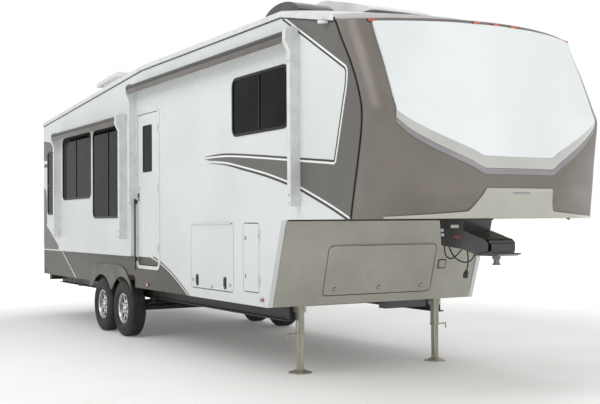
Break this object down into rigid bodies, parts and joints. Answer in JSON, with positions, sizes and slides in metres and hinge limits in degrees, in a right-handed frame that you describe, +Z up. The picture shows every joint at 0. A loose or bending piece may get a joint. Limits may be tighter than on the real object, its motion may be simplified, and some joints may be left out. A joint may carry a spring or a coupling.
{
  "type": "fifth wheel travel trailer",
  "caption": "Fifth wheel travel trailer with a rounded grey front cap, tandem axles, slide-out rooms, awnings, landing legs and a black pin box",
  "frame": {"origin": "on the ground under the middle of the overall length and width, power cord left out", "axes": "+X forward towards the kingpin, +Y towards the off-door side, +Z up"},
  "size_m": [9.9637, 2.803, 3.702],
  "materials": {
    "body_white": "smooth gloss",
    "cap_taupe": "metallic gloss",
    "nose_white": "gloss",
    "chin_beige": "gloss",
    "basement_grey": "satin",
    "roof_white": "matte membrane",
    "roof_unit": "satin",
    "vent_dark": "satin",
    "frame_black": "satin",
    "band_beige": "gloss",
    "steel_black": "satin",
    "leg_cream": "satin",
    "pin_steel": "greased steel",
    "window_dark": "dark tinted",
    "skirt_black": "satin",
    "floor_board": "matt",
    "arm_white": "satin",
    "roller_black": "woven",
    "lamp_red": "clear gloss",
    "tyre_black": "matt",
    "rim_silver": "machined",
    "cord_black": "satin"
  },
  "bodies": {
    "trailer": {"chassis_rails": "steel_black", "chassis_crossmembers": "steel_black", "spring_hangers": "steel_black", "rear_bumper": "steel_black", "main_floor": "floor_board", "upper_deck": "floor_board", "door_side_wall": "body_white", "off_door_wall": "body_white", "rear_wall": "body_white", "roof": "roof_white", "front_cap": "cap_taupe", "cap_nose_panel": "nose_white", "cap_bevel_bands": "band_beige", "cap_chin_panel": "chin_beige", "basement_front": "basement_grey", "opening_frames": "frame_black", "entry_frame": "arm_white", "assist_handle": "frame_black", "window_glass": "window_dark", "fender_skirts": "skirt_black", "axles": "steel_black", "leaf_springs": "steel_black", "landing_legs": "leg_cream", "landing_gear_drive": "steel_black", "rear_stabilisers": "steel_black", "pin_box": "steel_black", "kingpin": "pin_steel", "air_conditioners": "roof_unit", "roof_vents": "vent_dark", "lidded_vent": "roof_unit", "awning_arms": "arm_white", "awning_roller": "roller_black", "lamps": "lamp_red", "power_cord": "cord_black", "power_plug": "cord_black"},
    "front_door_side_wheel": {"front_door_side_tyre": "tyre_black", "front_door_side_rim": "rim_silver"},
    "rear_door_side_wheel": {"rear_door_side_tyre": "tyre_black", "rear_door_side_rim": "rim_silver"},
    "front_off_side_wheel": {"front_off_side_tyre": "tyre_black", "front_off_side_rim": "rim_silver"},
    "rear_off_side_wheel": {"rear_off_side_tyre": "tyre_black", "rear_off_side_rim": "rim_silver"},
    "entry_door": {"entry_door": "body_white", "entry_door_glass": "window_dark"},
    "baggage_door": {"baggage_door": "body_white"},
    "utility_door": {"utility_door": "body_white"},
    "front_hatch": {"front_hatch": "basement_grey"},
    "off_baggage_door": {"off_baggage_door": "body_white"},
    "slideout": {"slideout_room": "body_white", "slideout_frames": "frame_black", "slideout_glass": "window_dark", "slideout_awning": "arm_white", "slideout_roller": "roller_black"},
    "off_slideout": {"off_slideout_room": "body_white", "off_slideout_frames": "frame_black", "off_slideout_glass": "window_dark", "off_slideout_topper": "arm_white"}
  },
  "joints": [
    {"name": "front_door_side_spin", "type": "hinge", "parent": "trailer", "child": "front_door_side_wheel", "pos_m": [-1.145, -1.1205, 0.358], "axis": [0, 1, 0], "continuous": true},
    {"name": "rear_door_side_spin", "type": "hinge", "parent": "trailer", "child": "rear_door_side_wheel", "pos_m": [-1.955, -1.1205, 0.358], "axis": [0, 1, 0], "continuous": true},
    {"name": "front_off_side_spin", "type": "hinge", "parent": "trailer", "child": "front_off_side_wheel", "pos_m": [-1.145, 1.1205, 0.358], "axis": [0, 1, 0], "continuous": true},
    {"name": "rear_off_side_spin", "type": "hinge", "parent": "trailer", "child": "rear_off_side_wheel", "pos_m": [-1.955, 1.1205, 0.358], "axis": [0, 1, 0], "continuous": true},
    {"name": "entry_door_hinge", "type": "hinge", "parent": "trailer", "child": "entry_door", "pos_m": [0.1155, -1.229, 1.8575], "axis": [0, 0, 1], "range_deg": [0, 170]},
    {"name": "baggage_door_hinge", "type": "hinge", "parent": "trailer", "child": "baggage_door", "pos_m": [1.5985, -1.229, 1.4405], "axis": [-1, 0, 0], "range_deg": [0, 170]},
    {"name": "utility_door_hinge", "type": "hinge", "parent": "trailer", "child": "utility_door", "pos_m": [2.6845, -1.229, 1.1125], "axis": [0, 0, 1], "range_deg": [0, 170]},
    {"name": "front_hatch_hinge", "type": "hinge", "parent": "trailer", "child": "front_hatch", "pos_m": [3.0271, 0, 1.21591], "axis": [0, -1, 0], "range_deg": [0, 95]},
    {"name": "off_baggage_door_hinge", "type": "hinge", "parent": "trailer", "child": "off_baggage_door", "pos_m": [1.5985, 1.229, 1.4405], "axis": [1, 0, 0], "range_deg": [0, 170]},
    {"name": "slideout_slide", "type": "slide", "parent": "trailer", "child": "slideout", "axis": [0, -1, 0], "range_m": [0, 0.75]},
    {"name": "off_slideout_slide", "type": "slide", "parent": "trailer", "child": "off_slideout", "axis": [0, 1, 0], "range_m": [0, 0.75]}
  ]
}
